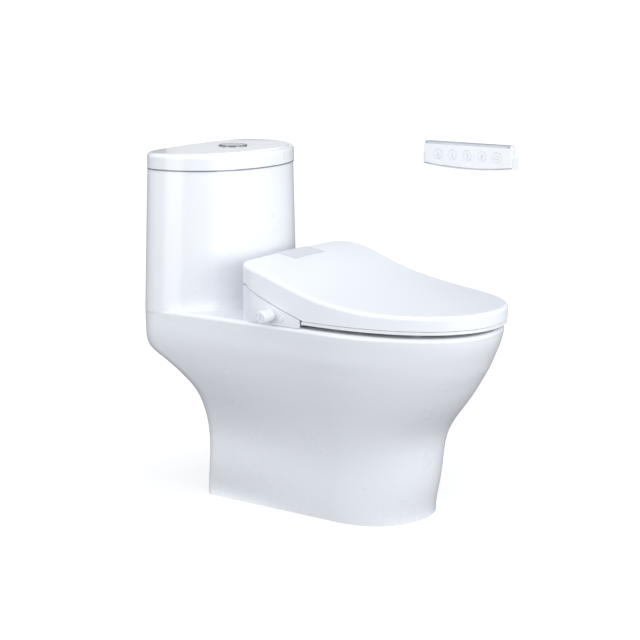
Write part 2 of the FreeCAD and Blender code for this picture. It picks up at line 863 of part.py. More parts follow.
def seat_bumpers():
    height = seat_bottom_z - rim_z
    pads = []
    for x, y in seat_bumper_spots:
        pads.append(rod(seat_bumper_r, V(x, y, rim_z + seat_gap), height - seat_gap))
    return pads


# ---- housing of the bidet unit ----

def housing_front_cut(gap=0.0):
    return rod(front_arc_r() + gap, V(0, arc_middle_y - front_arc_r(), 330), 250)


def shelf_z():
    """Height of the shelf that the hinge eyes stand over."""
    return hinge_z - shelf_drop


def housing_outside():
    """Side shoulders, raised middle under the lid, and the block under the top panel."""
    floor = rim_z + unit_floor_gap
    plan = prism(unit_wire(floor, 0.3), 150.0).cut(housing_front_cut())
    shoulder = plan.common(below_split(shoulder_gap))
    shoulder = shoulder.cut(box(-230, 230, hinge_y - shelf_depth, 60, shelf_z(), 520))
    raised = prism(unit_wire(floor, unit_half - raised_half), 150.0).cut(housing_front_cut(2.0))
    raised = raised.common(under_top(lid_skin + raised_gap, lid_crown))
    raised = raised.cut(hinge_cylinder(sweep_r))
    raised = raised.cut(box(-230, 230, hinge_y, 60, shelf_z(), 530))
    block = box(-block_half, block_half, notch_front_y + 2, unit_back_y - 2, floor, 540)
    block = block.common(under_top(panel_thick + panel_gap, lid_crown))
    return shoulder.fuse(raised).fuse(block)


def cheek(x0, x1):
    """Lug that holds a hinge shaft, carried from the front of the bay."""
    eye = rod(knuckle_r, V(x0, hinge_y, hinge_z), x1 - x0, X_AXIS)
    top = hinge_z + knuckle_r
    outline = [(hinge_y, hinge_z - 4), (hinge_y, top), (hinge_y - 18, top + 1), (hinge_y - 50, hinge_z + 1),
               (hinge_y - 50, hinge_z - 25), (hinge_y - 30, hinge_z - 20)]
    return eye.fuse(side_profile(outline, x0, x1))


def bay(x0, x1, grow):
    """Space for a seat arm and a lid knuckle in the housing, open at the top."""
    profile = arm_profile(arm_play + grow)
    lower = [profile[0], profile[5], profile[4]]
    points = [(70, shelf_z() - 0.2 - grow), (hinge_y - 10, shelf_z() - 0.2 - grow)]
    points = points + [(lower[1][0], lower[1][1]), (-140, lower[2][1]), (-140, 560), (70, 560)]
    return side_profile(points, x0 - grow, x1 + grow)


def housing_cover():
    outside = housing_outside()
    inside = outside_inner()
    shell = outside
    for x0, x1 in bay_spans():
        shell = shell.cut(bay(x0, x1, 0.0))
    for x0, x1 in bay_spans():
        inside = inside.cut(bay(x0, x1, bay_margin))
    shell = shell.cut(inside)
    shell = shell.fuse(cheek(*cheek_x)).fuse(cheek(-cheek_x[1], -cheek_x[0]))
    for x0, x1 in shaft_spans():
        shell = shell.cut(rod(shaft_r + shaft_play, V(x0 - 2, hinge_y, hinge_z), x1 - x0 + 4, X_AXIS))
    shell = shell.cut(rod(knob_hole_r, V(-200, knob_y, knob_z), 30, X_AXIS))
    shell = shell.cut(rod(side_button_r + 0.3, V(-200, side_button_y, side_button_z), 30, X_AXIS))
    shell = shell.cut(rod(neck_r + 0.3, V(inlet_x, unit_back_y - 12, inlet_z), 20, Y_AXIS))
    mouth_half = plate_half + plate_play
    mouth_top = rim_z + plate_thick + plate_play
    shell = shell.cut(box(-mouth_half, mouth_half, unit_back_y - 15, unit_back_y + 5, rim_z - 5, mouth_top))
    shell = shell.cut(nozzle_rod(nozzle_r + guide_wall + 2.0, nozzle_length + 60, -60))
    return shell.removeSplitter()


def bay_spans():
    x0 = seat_knuckle_x[0] - 1.5
    x1 = lid_knuckle_x[1] + 1.5
    return ((x0, x1), (-x1, -x0))


def shaft_spans():
    x0 = cheek_x[0]
    return ((x0, shaft_end_x), (-shaft_end_x, -x0))


def outside_inner():
    """Inside of the housing cover."""
    w = housing_wall
    floor = rim_z + unit_floor_gap - 1
    plan = prism(unit_wire(floor, 0.3 + w), 150.0).cut(housing_front_cut(w))
    shoulder = plan.common(below_split(shoulder_gap + w))
    shoulder = shoulder.cut(box(-230, 230, hinge_y - shelf_depth - w, 60, shelf_z() - w, 520))
    raised = prism(unit_wire(floor, unit_half - raised_half + w), 150.0).cut(housing_front_cut(2.0 + w))
    raised = raised.common(under_top(lid_skin + raised_gap + w, lid_crown))
    raised = raised.cut(hinge_cylinder(sweep_r + w))
    raised = raised.cut(box(-230, 230, hinge_y - w, 60, shelf_z() - w, 530))
    block = box(-block_half + w, block_half - w, notch_front_y + 2 + w, unit_back_y - 2 - w, floor, 540)
    block = block.common(under_top(panel_thick + panel_gap + w, lid_crown))
    return shoulder.fuse(raised).fuse(block)


def top_panel():
    panel = box(-block_half, block_half, notch_front_y + 2, unit_back_y - 2, 480, 540)
    panel = panel.common(under_top(0.0, lid_crown)).cut(under_top(panel_thick, lid_crown))
    return panel


def housing_base():
    """Floor plate of the housing inside the cover's walls, raised over the deck plate."""
    w = housing_wall + 0.3
    floor = rim_z + unit_floor_gap
    roof = rim_z + plate_thick + plate_play
    inner_half = plate_half + plate_play
    outer_half = inner_half + base_thick
    y0 = plate_front_y - 5
    y1 = unit_back_y - 3.2
    plan = prism(unit_wire(floor, 0.3 + w), base_thick).cut(housing_front_cut(w))
    plan = plan.cut(box(-outer_half, outer_half, y0, 60, floor - 1, floor + base_thick + 1))
    raised = box(-outer_half, outer_half, y0, y1, roof, roof + base_thick)
    left_wall = box(-outer_half, -inner_half, y0, y1, floor, roof + base_thick)
    right_wall = box(inner_half, outer_half, y0, y1, floor, roof + base_thick)
    front_wall = box(-outer_half, outer_half, y0, y0 + 3, floor, roof + base_thick)
    shape = plan.fuse(raised).fuse(left_wall).fuse(right_wall).fuse(front_wall)
    return shape.cut(nozzle_rod(nozzle_r + guide_wall + 2.0, nozzle_length + 60, -60))


def nozzle_direction():
    angle = math.radians(nozzle_angle)
    return V(0, -math.cos(angle), -math.sin(angle))


def nozzle_rod(radius, length, start):
    """Cylinder along the nozzle line, measured back from the tip at rest."""
    way = nozzle_direction()
    tip = V(0, nozzle_tip_y, nozzle_tip_z)
    return rod(radius, tip - way * start, length, way * -1)


def nozzle_wand():
    wand = nozzle_rod(nozzle_r, nozzle_length, 0)
    jet = rod(jet_r, V(0, nozzle_tip_y, nozzle_tip_z) - nozzle_direction() * 12, 12)
    return wand.cut(jet)


def nozzle_guide():
    """Sleeve of the nozzle, on a foot that stands on the housing floor."""
    sleeve = nozzle_rod(nozzle_r + guide_wall, nozzle_length - 26, 16)
    middle_y = sum(guide_foot_y) / 2
    middle_z = nozzle_tip_z + (middle_y - nozzle_tip_y) * math.tan(math.radians(nozzle_angle))
    y0, y1 = guide_foot_y
    foot = box(-guide_foot_half, guide_foot_half, y0, y1, deck_plate_top(), middle_z)
    return sleeve.fuse(foot).cut(nozzle_rod(nozzle_r + guide_play, nozzle_length + 60, -20))


def hinge_shafts():
    shafts = []
    for x0, x1 in shaft_spans():
        shafts.append(rod(shaft_r, V(x0, hinge_y, hinge_z), x1 - x0, X_AXIS))
    return shafts


def filter_knob():
    """Turning knob on the unit's side, with grip grooves round it and a cross slot."""
    x0 = -unit_half - knob_length
    body = rod(knob_r, V(x0, knob_y, knob_z), knob_length - 3.0, X_AXIS)
    edges = [edge for edge in body.Edges if edge.BoundBox.XMax < x0 + 0.1]
    body = body.makeFillet(3.0, edges)
    stem = rod(knob_hole_r - 0.4, V(-unit_half - 4, knob_y, knob_z), 22.0, X_AXIS)
    shape = body.fuse(stem)
    for i in range(knob_grooves):
        angle = 2 * math.pi * i / knob_grooves
        y = knob_y + knob_r * math.cos(angle)
        z = knob_z + knob_r * math.sin(angle)
        shape = shape.cut(rod(groove_r, V(x0 + 4, y, z), knob_length - 11.0, X_AXIS))
    shape = shape.cut(ring(knob_r - 3.0, knob_r - 4.2, V(x0 - 0.1, knob_y, knob_z), 1.3, X_AXIS))
    slot = box(x0 - 1, x0 + 2.0, knob_y - 6, knob_y + 6, knob_z - 1.1, knob_z + 1.1)
    cross = box(x0 - 1, x0 + 2.0, knob_y - 1.1, knob_y + 1.1, knob_z - 6, knob_z + 6)
    return shape.cut(slot).cut(cross)


def knob_collar():
    start = V(-unit_half - 2.6, knob_y, knob_z)
    return ring(knob_r + 1.0, knob_hole_r, start, 2.6, X_AXIS)


def side_button():
    x0 = -unit_half + 0.3 - side_button_out
    cap = rod(side_button_r, V(x0, side_button_y, side_button_z), 8.0, X_AXIS)
    start = V(-unit_wide_half + housing_wall + 1.5, side_button_y, side_button_z)
    flange = rod(side_button_r + 1.5, start, 1.5, X_AXIS)
    return cap.fuse(flange)


# ---- inside the unit ----

def deck_plate_top():
    """Where the inner parts stand, just above the floor of the housing."""
    return rim_z + plate_thick + plate_play + base_thick + 0.3


def water_heater():
    x0, x1 = heater_tank_x
    tank = box(x0, x1, -28, 32, deck_plate_top(), deck_plate_top() + heater_tank_height)
    return tank.makeFillet(5.0, tank.Edges)


def circuit_board():
    return box(-100, -26, -33, 2, deck_plate_top(), deck_plate_top() + 1.6)


def valve_block():
    block = box(-100, -60, 6, 34, deck_plate_top(), deck_plate_top() + valve_block_height)
    port = rod(5.0, V(-80, 34, 420), 4.0, Y_AXIS)
    return block.fuse(port)


def dryer_fan():
    fan = rod(fan_r, V(36, 12, deck_plate_top()), fan_height)
    duct = box(20, 32, -33, 12, deck_plate_top(), deck_plate_top() + 16)
    return fan.fuse(duct)


def inlet_fitting():
    """Elbow behind the housing, with its threaded end turned to the side."""
    y0 = unit_back_y - unit_skin_gap - housing_wall - 3
    flange = rod(elbow_flange_r, V(inlet_x, y0, inlet_z), 2.4, Y_AXIS)
    leg = rod(neck_r, V(inlet_x, y0, inlet_z), inlet_run_y - y0, Y_AXIS)
    block = box(inlet_x - elbow_r, inlet_x + elbow_r, inlet_run_y - elbow_r, inlet_run_y + elbow_r,
                inlet_z - elbow_r, inlet_z + elbow_r)
    pin = rod(shank_r, V(inlet_x + elbow_r, inlet_run_y, inlet_z), inlet_thread, X_AXIS)
    bore_in = rod(inlet_bore_r, V(inlet_x, y0 - 1, inlet_z), inlet_run_y - y0 + inlet_bore_r + 3, Y_AXIS)
    bore_out = rod(inlet_bore_r - 1, V(inlet_x, inlet_run_y, inlet_z), elbow_r + inlet_thread + 1, X_AXIS)
    return flange.fuse(leg).fuse(block).fuse(pin).cut(bore_in).cut(bore_out)


def power_gland():
    y0 = unit_back_y - 0.3
    collar = rod(8.0, V(gland_x, y0, 412), 3.0, Y_AXIS)
    return collar.cut(rod(3.5, V(gland_x, y0 - 1, 412), 6.0, Y_AXIS))


# ---- seat base plate ----

def seat_base_plate():
    z0 = rim_z
    plate = box(-plate_half, plate_half, plate_front_y, plate_back_y, z0, z0 + plate_thick)
    for side in (-1, 1):
        x = side * bolt_half_spacing
        plate = plate.cut(rod(bolt_r + 0.3, V(x, bolt_y, z0 - 1), 20))
        plate = plate.cut(rod(bolt_head_r + 0.5, V(x, bolt_y, z0 + plate_thick - head_depth), 20))
    return plate


def base_bolts():
    bolts = []
    for side in (-1, 1):
        x = side * bolt_half_spacing
        head_z = rim_z + plate_thick - head_depth
        shank = rod(bolt_r, V(x, bolt_y, rim_z - bolt_length + 4), bolt_length - 4 + plate_thick - 3)
        head = rod(bolt_head_r, V(x, bolt_y, head_z), 4.0)
        slot = box(x - 5, x + 5, bolt_y - 1, bolt_y + 1, head_z + 2.4, head_z + 5)
        bolts.append(shank.fuse(head).cut(slot))
    return bolts


def bolt_sleeves():
    sleeves = []
    for side in (-1, 1):
        start = V(side * bolt_half_spacing, bolt_y, rim_z - bolt_length + 0.5)
        sleeves.append(ring(sleeve_r, bolt_r + 0.02, start, bolt_length - 1.0))
    return sleeves


# ---- remote ----

def remote_box(x0, x1, inset, z0, z1):
    return box(x0, x1, remote_y - remote_half + inset, remote_y + remote_half - inset, z0, z1)


def remote_slab(x0, x1, inset, z1):
    """Slab of the handset whose bottom edge bows down towards the middle."""
    half = remote_half - inset
    corner_z = remote_bottom_z + remote_bow + inset
    low = remote_bottom_z + inset
    left, right = remote_y - half, remote_y + half
    bow = Part.Arc(V(x0, left, corner_z), V(x0, remote_y, low), V(x0, right, corner_z)).toShape()
    corners = ((right, corner_z), (right, z1), (left, z1), (left, corner_z))
    sides = Part.makePolygon([V(x0, y, z) for y, z in corners])
    return Part.Face(Part.Wire([bow] + sides.Edges)).extrude(V(x1 - x0, 0, 0))


def handset_front():
    x0 = remote_front_x
    shell = remote_slab(x0, x0 + 9.0, 0.0, remote_top_z)
    edges = [edge for edge in shell.Edges if edge.BoundBox.XMax < x0 + 0.1]
    shell = shell.makeFillet(3.0, edges)
    shell = shell.cut(remote_slab(x0 + 2.0, x0 + 10.0, 2.0, remote_top_z - 2))
    for i in range(5):
        shell = shell.cut(rod(key_r + key_gap, V(x0 - 1, key_y(i), key_z()), 5.0, X_AXIS))
    for window in top_key_windows(x0 + 3.0, x0 + 12.0):
        shell = shell.cut(window)
    return shell


def key_y(i):
    return remote_y + key_y_step * (2 - i)


def key_z():
    return remote_bottom_z + 28.0


def top_key_spans():
    edge = remote_y + remote_half - 6.0
    width = (2 * remote_half - 12.0) / 3.0
    return [(edge - width * (i + 1) + 0.8, edge - width * i - 0.8) for i in range(3)]


def top_key_windows(x0, x1):
    """Openings for the keys along the top edge."""
    windows = []
    for y0, y1 in top_key_spans():
        windows.append(box(x0, x1, y0 - key_gap, y1 + key_gap, remote_top_z - 3, remote_top_z + 1))
    return windows


def handset_back():
    x0 = remote_front_x + 9.3
    x1 = remote_front_x + remote_depth
    shell = remote_slab(x0, x1, 0.0, remote_top_z)
    shell = shell.cut(remote_slab(x0 - 1, x1 - 2.0, 2.0, remote_top_z - 2))
    for window in top_key_windows(x0 - 1, x0 + 3.0):
        shell = shell.cut(window)
    shell = shell.cut(battery_window(0.3))
    return shell


def door_z0():
    return remote_bottom_z + door_above_bottom


def battery_window(gap):
    """Space of the battery door, widened by the gap."""
    x1 = remote_front_x + remote_depth
    half = door_half + gap
    z0 = door_z0()
    return box(x1 - 2.5, x1 + 1, remote_y - half, remote_y + half, z0 - gap, z0 + door_height + gap)


def battery_door():
    x1 = remote_front_x + remote_depth
    return box(x1 - 1.8, x1, remote_y - door_half, remote_y + door_half, door_z0(), door_z0() + door_height)


def batteries():
    x = remote_front_x + 11.8
    cells = []
    for i in range(2):
        z = remote_bottom_z + 21.0 + 12.0 * i
        cell = rod(5.0, V(x, remote_y - 24, z), 44.5, Y_AXIS)
        cells.append(cell.fuse(rod(2.5, V(x, remote_y + 20, z), 1.5, Y_AXIS)))
    return cells


def handset_board():
    x0 = remote_front_x + 5.0
    return remote_box(x0, x0 + 1.2, 5.0, remote_bottom_z + remote_bow + 4, remote_top_z - 6)


def front_key(i):
    cap = rod(key_r, V(remote_front_x - 0.2, key_y(i), key_z()), 2.6, X_AXIS)
    stem = rod(2.0, V(remote_front_x + 2.2, key_y(i), key_z()), 1.4, X_AXIS)
    return cap.fuse(stem)


def top_key(i):
    y0, y1 = top_key_spans()[i]
    x0 = remote_front_x + 3.0 + key_gap
    return box(x0, remote_front_x + 12.0, y0, y1, remote_top_z - 3.6, remote_top_z + 0.6)


def remote_holder():
    """Wall cradle with a bowed floor, two ears at the sides and two countersunk screw holes."""
    x1 = wall_x
    pocket_x1 = remote_front_x + remote_depth + holder_play
    outer = remote_slab(remote_front_x + 3.0, x1, -holder_play - holder_wall, holder_ear_z)
    shape = outer.cut(remote_slab(remote_front_x - 1, pocket_x1, -holder_play, holder_ear_z + 1))
    for y in holder_holes():
        shape = shape.cut(rod(screw_hole_r, V(x1 - 12, y, holder_hole_z()), 14, X_AXIS))
        shape = shape.cut(rod(screw_head_r, V(x1 - 12, y, holder_hole_z()), 12 - screw_land, X_AXIS))
    return shape


def holder_holes():
    return (remote_y - screw_spacing / 2, remote_y + screw_spacing / 2)


def holder_hole_z():
    return holder_ear_z - 12.0


def main():
    os.makedirs("parts", exist_ok=True)
    save("toilet_body", toilet_body())
    save("rim_deck", rim_deck())
    save("toilet_tank", toilet_tank())
    save("bowl_basin", bowl_basin())
    save("trapway", trapway())
    save("outlet_adapter", outlet_adapter())
    save("outlet_seal", outlet_seal())
    save("tank_lid", tank_lid())
    save("button_bezel", button_bezel())
    save("bezel_nut", bezel_nut())
    save("button_full", flush_button(-1))
    save("button_half", flush_button(1))
    save("flush_valve_body", flush_valve_body())
    save("flush_valve_seal", flush_valve_seal())
    save("flush_valve_lift", flush_valve_lift())
    save("fill_valve_body", fill_valve_body())
    save("fill_valve_washer", fill_valve_washer())
    save("fill_valve_float", fill_valve_float())
    save("shank_nut", shank_nut())
    save("lid_shell", lid_shell())
    save("lid_bumpers", *lid_bumpers())
    save("seat_top", seat_top())
    save("seat_bottom", seat_bottom())
    save("heater_element", heater_element())
    save("seat_bumpers", *seat_bumpers())
    save("housing_cover", housing_cover())
    save("housing_base", housing_base())
    save("top_panel", top_panel())
    save("hinge_shafts", *hinge_shafts())
    save("nozzle_wand", nozzle_wand())
    save("nozzle_guide", nozzle_guide())
    save("filter_knob", filter_knob())
    save("knob_collar", knob_collar())
    save("side_button", side_button())
    save("water_heater", water_heater())
    save("circuit_board", circuit_board())
    save("valve_block", valve_block())
    save("dryer_fan", dryer_fan())
    save("inlet_fitting", inlet_fitting())
    save("power_gland", power_gland())
    save("seat_base_plate", seat_base_plate())
    save("base_bolts", *base_bolts())
    save("bolt_sleeves", *bolt_sleeves())
    save("handset_front", handset_front())
    save("handset_back", handset_back())
    save("battery_door", battery_door())
    save("batteries", *batteries())
    save("handset_board", handset_board())
    for i, name in enumerate(("stop", "rear_wash", "front_wash", "dry", "pressure")):
        save("key_" + name, front_key(i))
    for i, name in enumerate(("seat_heat", "water_heat", "power")):
        save("key_" + name, top_key(i))
    save("remote_holder", remote_holder())


if __name__ == "__main__":
    main()
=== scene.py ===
import bpy
import math
from mathutils import Matrix, Vector


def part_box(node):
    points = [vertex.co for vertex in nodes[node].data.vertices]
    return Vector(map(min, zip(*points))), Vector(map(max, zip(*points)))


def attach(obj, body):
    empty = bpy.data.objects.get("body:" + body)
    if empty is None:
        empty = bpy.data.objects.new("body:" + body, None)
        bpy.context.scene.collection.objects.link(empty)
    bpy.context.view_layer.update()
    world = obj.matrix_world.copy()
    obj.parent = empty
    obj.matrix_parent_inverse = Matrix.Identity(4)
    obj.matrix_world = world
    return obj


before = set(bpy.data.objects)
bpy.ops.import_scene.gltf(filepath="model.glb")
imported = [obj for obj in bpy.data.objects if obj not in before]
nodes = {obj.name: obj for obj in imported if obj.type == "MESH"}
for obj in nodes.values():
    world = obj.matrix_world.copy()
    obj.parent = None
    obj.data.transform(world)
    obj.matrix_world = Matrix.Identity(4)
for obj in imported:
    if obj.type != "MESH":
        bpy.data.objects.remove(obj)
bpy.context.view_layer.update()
print("stage: frame loaded,", len(nodes), "nodes")

# The photograph's viewing angle
cameraView = {
    "location": (-2.74643, -1.94678, 1.06324),
    "turn": math.radians(55.1),
    "pitch": math.radians(11.7),
    "lens": 95.175,
    "sensor": 36.0,
    "clipEnd": 50.0,
}


def makeCamera(view):
    turn, pitch = view["turn"], view["pitch"]
    right = Vector((math.cos(turn), -math.sin(turn), 0.0))
    back = Vector((-math.sin(turn) * math.cos(pitch), -math.cos(turn) * math.cos(pitch), math.sin(pitch)))
    up = back.cross(right)
    data = bpy.data.cameras.new("photoCamera")
    data.lens = view["lens"]
    data.sensor_width = view["sensor"]
    data.sensor_fit = "HORIZONTAL"
    data.clip_end = view["clipEnd"]
    camera = bpy.data.objects.new("photoCamera", data)
    rotation = Matrix((right, up, back)).transposed().to_4x4()
    camera.matrix_world = Matrix.Translation(view["location"]) @ rotation
    bpy.context.collection.objects.link(camera)
    bpy.context.scene.camera = camera


makeCamera(cameraView)
print("stage: camera made")

lightSetup = {
    "world": (0.87, 0.895, 0.935),
    "worldStrength": 0.88,
    "lamps": (
        {"name": "keySoftbox", "size": 2.4, "power": 23.0,
         "at": (-2.6, -2.5, 2.3), "aim": (0.0, 0.0, 0.45)},
        {"name": "topSoftbox", "size": 2.0, "power": 6.5,
         "at": (-0.2, -0.4, 2.6), "aim": (0.0, 0.0, 0.40)},
        {"name": "rightSoftbox", "size": 2.0, "power": 27.0,
         "at": (1.6, -3.0, 1.3), "aim": (0.0, 0.0, 0.50)},
        {"name": "lowSoftbox", "size": 1.8, "power": 33.0,
         "at": (-0.7, -3.1, 0.8), "aim": (0.0, -0.1, 0.55)},
        {"name": "leftSoftbox", "size": 1.6, "power": 21.0,
         "at": (-3.0, 0.6, 0.9), "aim": (0.0, 0.1, 0.50)},
        {"name": "behindSoftbox", "size": 1.2, "power": 3.0,
         "at": (2.7, 1.9, 1.4), "aim": (0.0, 0.1, 0.66)},
        {"name": "backSoftbox", "size": 2.0, "power": 8.0,
         "at": (-1.8, 2.8, 2.2), "aim": (0.0, 0.0, 0.50)},
    ),
}

stageShape = {
    "halfWidth": 9.0,
    "front": -9.0,
    "back": 5.0,
    "bend": 1.2,
    "bendSteps": 12,
    "height": 5.0,
    "roughness": 0.9,
    "glow": 1.10,
    "nearShare": 0.66,
    "nearReach": 0.35,
    "farReach": 0.9,
    "middle": (0.0, -0.07, 0.0),
    "seenColor": (0.94, 0.95, 0.96),
    "bounceColor": (0.20, 0.205, 0.215),
}


def makeLamp(lamp):
    data = bpy.data.lights.new(lamp["name"], "AREA")
    data.shape = "SQUARE"
    data.size = lamp["size"]
    data.energy = lamp["power"]
    light = bpy.data.objects.new(lamp["name"], data)
    aim = Vector(lamp["aim"]) - Vector(lamp["at"])
    light.location = lamp["at"]
    light.rotation_euler = aim.to_track_quat("-Z", "Y").to_euler()
    light.visible_camera = False
    bpy.context.collection.objects.link(light)


def makeWorld(setup):
    world = bpy.data.worlds.new("studioWorld")
    world.use_nodes = True
    background = world.node_tree.nodes["Background"]
    background.inputs["Color"].default_value = (*setup["world"], 1.0)
    background.inputs["Strength"].default_value = setup["worldStrength"]
    bpy.context.scene.world = world


# A level floor that bends up into a backdrop behind the object
def makeStage(shape):
    turn = cameraView["turn"]
    bend, steps = shape["bend"], shape["bendSteps"]
    away = Vector((math.sin(turn), math.cos(turn), 0.0))
    side = Vector((math.cos(turn), -math.sin(turn), 0.0))
    start = shape["back"] - bend
    profile = [(shape["front"], 0.0), (start, 0.0)]
    for i in range(1, steps + 1):
        angle = math.pi / 2 * i / steps
        profile.append((start + bend * math.sin(angle), bend * (1 - math.cos(angle))))
    profile.append((shape["back"], shape["height"]))
    vertices = []
    for way in (-1, 1):
        for distance, height in profile:
            vertices.append(away * distance + side * way * shape["halfWidth"] + Vector((0, 0, height)))
    count = len(profile)
    faces = [(i, i + 1, count + i + 1, count + i) for i in range(count - 1)]
    mesh = bpy.data.meshes.new("studioFloor")
    mesh.from_pydata(vertices, [], faces)
    mesh.polygons.foreach_set("use_smooth", [True] * len(mesh.polygons))
    floor = bpy.data.objects.new("studioFloor", mesh)
    bpy.context.collection.objects.link(floor)
    mesh.materials.append(makeFloorMaterial(shape))


# The camera sees the floor paler than the light it gives back to the object, and whiter with distance from
# the object's middle, where a soft shadow stays
def makeFloorMaterial(shape):
    material = bpy.data.materials.new("paleFloor")
    material.use_nodes = True
    tree = material.node_tree
    surface = tree.nodes["Principled BSDF"]
    surface.inputs["Roughness"].default_value = shape["roughness"]
    surface.inputs["Specular IOR Level"].default_value = 0.0
    ray = tree.nodes.new("ShaderNodeLightPath")
    tint = tree.nodes.new("ShaderNodeMix")
    tint.data_type = "RGBA"
    tint.inputs["A"].default_value = (*shape["bounceColor"], 1.0)
    tint.inputs["B"].default_value = (*shape["seenColor"], 1.0)
    tree.links.new(ray.outputs["Is Camera Ray"], tint.inputs["Factor"])
    tree.links.new(tint.outputs["Result"], surface.inputs["Base Color"])
    glow = tree.nodes.new("ShaderNodeEmission")
    glow.inputs["Strength"].default_value = shape["glow"]
    place = tree.nodes.new("ShaderNodeNewGeometry")
    distance = tree.nodes.new("ShaderNodeVectorMath")
    distance.operation = "DISTANCE"
    distance.inputs[1].default_value = shape["middle"]
    reach = tree.nodes.new("ShaderNodeMapRange")
    reach.interpolation_type = "SMOOTHSTEP"
    reach.inputs["From Min"].default_value = shape["nearReach"]
    reach.inputs["From Max"].default_value = shape["farReach"]
    reach.inputs["To Min"].default_value = shape["nearShare"]
    share = tree.nodes.new("ShaderNodeMath")
    share.operation = "MULTIPLY"
    mix = tree.nodes.new("ShaderNodeMixShader")
    tree.links.new(place.outputs["Position"], distance.inputs[0])
    tree.links.new(distance.outputs["Value"], reach.inputs["Value"])
    tree.links.new(ray.outputs["Is Camera Ray"], share.inputs[0])
    tree.links.new(reach.outputs["Result"], share.inputs[1])
    tree.links.new(share.outputs["Value"], mix.inputs["Fac"])
    tree.links.new(surface.outputs["BSDF"], mix.inputs[1])
    tree.links.new(glow.outputs["Emission"], mix.inputs[2])
    tree.links.new(mix.outputs["Shader"], tree.nodes["Material Output"].inputs["Surface"])
    return material


makeWorld(lightSetup)
for lamp in lightSetup["lamps"]:
    makeLamp(lamp)
makeStage(stageShape)
bpy.context.scene.view_settings.view_transform = "Standard"
print("stage: light and floor made")

finishDetail = {"slow": 3.0, "fine": 2.0, "fineShare": 0.25, "noiseMiddle": 0.5}


# Slow and fine unevenness of a moulded or glazed surface: colour drift, sheen drift and bump height
def makeFinishGroup():
    group = bpy.data.node_groups.new("finishDrift", "ShaderNodeTree")
    plug = group.interface
    plug.new_socket(name="Base", in_out="INPUT", socket_type="NodeSocketColor")
    for name in ("Drift", "Gloss", "Spread", "Slow Scale", "Fine Scale"):
        plug.new_socket(name=name, in_out="INPUT", socket_type="NodeSocketFloat")
    plug.new_socket(name="Color", in_out="OUTPUT", socket_type="NodeSocketColor")
    for name in ("Roughness", "Height"):
        plug.new_socket(name=name, in_out="OUTPUT", socket_type="NodeSocketFloat")
    entry = group.nodes.new("NodeGroupInput")
    result = group.nodes.new("NodeGroupOutput")
    place = group.nodes.new("ShaderNodeTexCoord")
    slow = group.nodes.new("ShaderNodeTexNoise")
    slow.inputs["Detail"].default_value = finishDetail["slow"]
    fine = group.nodes.new("ShaderNodeTexNoise")
    fine.inputs["Detail"].default_value = finishDetail["fine"]
    group.links.new(place.outputs["Object"], slow.inputs["Vector"])
    group.links.new(place.outputs["Object"], fine.inputs["Vector"])
    group.links.new(entry.outputs["Slow Scale"], slow.inputs["Scale"])
    group.links.new(entry.outputs["Fine Scale"], fine.inputs["Scale"])
    offset = group.nodes.new("ShaderNodeMath")
    offset.operation = "SUBTRACT"
    offset.inputs[1].default_value = finishDetail["noiseMiddle"]
    group.links.new(slow.outputs["Fac"], offset.inputs[0])
    amount = group.nodes.new("ShaderNodeMath")
    amount.operation = "MULTIPLY_ADD"
    amount.inputs[2].default_value = 1.0
    group.links.new(offset.outputs["Value"], amount.inputs[0])
    group.links.new(entry.outputs["Drift"], amount.inputs[1])
    tint = group.nodes.new("ShaderNodeVectorMath")
    tint.operation = "SCALE"
    group.links.new(entry.outputs["Base"], tint.inputs[0])
    group.links.new(amount.outputs["Value"], tint.inputs["Scale"])
    group.links.new(tint.outputs["Vector"], result.inputs["Color"])
    rough = group.nodes.new("ShaderNodeMath")
    rough.operation = "MULTIPLY_ADD"
    group.links.new(offset.outputs["Value"], rough.inputs[0])
    group.links.new(entry.outputs["Spread"], rough.inputs[1])
    group.links.new(entry.outputs["Gloss"], rough.inputs[2])
    group.links.new(rough.outputs["Value"], result.inputs["Roughness"])
    height = group.nodes.new("ShaderNodeMath")
    height.operation = "MULTIPLY_ADD"
    height.inputs[1].default_value = finishDetail["fineShare"]
    group.links.new(fine.outputs["Fac"], height.inputs[0])
    group.links.new(slow.outputs["Fac"], height.inputs[2])
    group.links.new(height.outputs["Value"], result.inputs["Height"])
    return group


finishGroup = makeFinishGroup()
plainLook = {"drift": 0.02, "metal": 0.0, "coat": 0.0, "coatRoughness": 0.03, "bumpDepth": 0.0004}


def makeMaterial(ownLook):
    look = {**plainLook, **ownLook}
    material = bpy.data.materials.new(look["name"])
    material.use_nodes = True
    tree = material.node_tree
    surface = tree.nodes["Principled BSDF"]
    drift = tree.nodes.new("ShaderNodeGroup")
    drift.node_tree = finishGroup
    drift.inputs["Base"].default_value = (*look["color"], 1.0)
    drift.inputs["Drift"].default_value = look["drift"]
    drift.inputs["Gloss"].default_value = look["gloss"]
    drift.inputs["Spread"].default_value = look["spread"]
    drift.inputs["Slow Scale"].default_value = look["slow"]
    drift.inputs["Fine Scale"].default_value = look["fine"]
    tree.links.new(drift.outputs["Color"], surface.inputs["Base Color"])
    tree.links.new(drift.outputs["Roughness"], surface.inputs["Roughness"])
    bump = tree.nodes.new("ShaderNodeBump")
    bump.inputs["Strength"].default_value = look["bump"]
    bump.inputs["Distance"].default_value = look["bumpDepth"]
    tree.links.new(drift.outputs["Height"], bump.inputs["Height"])
    tree.links.new(bump.outputs["Normal"], surface.inputs["Normal"])
    surface.inputs["Metallic"].default_value = look["metal"]
    surface.inputs["Coat Weight"].default_value = look["coat"]
    surface.inputs["Coat Roughness"].default_value = look["coatRoughness"]
    return material


